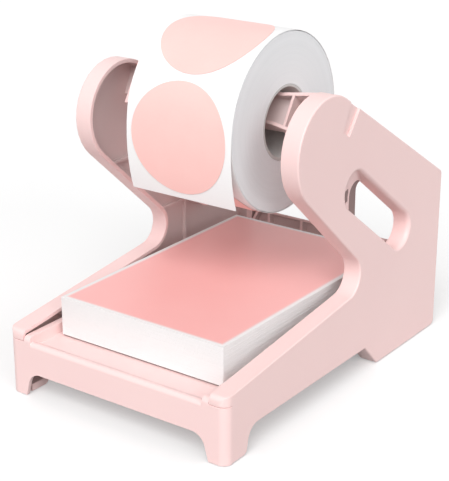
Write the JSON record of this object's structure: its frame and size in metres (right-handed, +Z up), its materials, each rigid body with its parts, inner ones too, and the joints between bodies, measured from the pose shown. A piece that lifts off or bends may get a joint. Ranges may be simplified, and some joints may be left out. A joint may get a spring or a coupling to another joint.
{
  "type": "label roll holder",
  "caption": "Free-standing desk holder with a lift-out shaft for a label roll over a tray for fan-fold labels.",
  "frame": {"origin": "centre of the footprint, on the surface that the holder stands on", "axes": "+X across to the right panel, +Y to the back, +Z up"},
  "size_m": [0.139, 0.206, 0.1873],
  "materials": {
    "frame_plastic": "satin",
    "tray_plastic": "satin",
    "label_face": "semi-gloss",
    "liner_paper": "matte",
    "core_board": "matte",
    "pad_rubber": "matte"
  },
  "bodies": {
    "frame": {"left_side_panel": "frame_plastic", "right_side_panel": "frame_plastic", "base_tray": "tray_plastic", "rear_wall": "frame_plastic", "foot_pad_front_left": "pad_rubber", "foot_pad_front_right": "pad_rubber", "foot_pad_rear_left": "pad_rubber", "foot_pad_rear_right": "pad_rubber"},
    "shaft": {"roll_shaft": "frame_plastic"},
    "roll": {"roll_core": "core_board", "label_roll": "liner_paper", "outer_turn": "liner_paper", "round_label_front": "label_face", "round_label_top": "label_face", "round_label_rear": "label_face", "round_label_under": "label_face", "round_label_bottom": "label_face"},
    "stack": {"fanfold_stack": "liner_paper"},
    "top_panel": {"fanfold_top_sheet": "liner_paper", "fanfold_top_label": "label_face"}
  },
  "joints": [
    {"name": "shaft_lift", "type": "slide", "parent": "frame", "child": "shaft", "axis": [0, 0.5192, 0.8547], "range_m": [0, 0.04]},
    {"name": "roll_spin", "type": "hinge", "parent": "shaft", "child": "roll", "pos_m": [0, -0.00104, 0.13957], "axis": [1, 0, 0], "continuous": true},
    {"name": "stack_lift", "type": "slide", "parent": "frame", "child": "stack", "axis": [0, 0, 1], "range_m": [0, 0.03]},
    {"name": "top_panel_feed", "type": "slide", "parent": "stack", "child": "top_panel", "axis": [0, 1, 0], "range_m": [0, 0.15]}
  ]
}
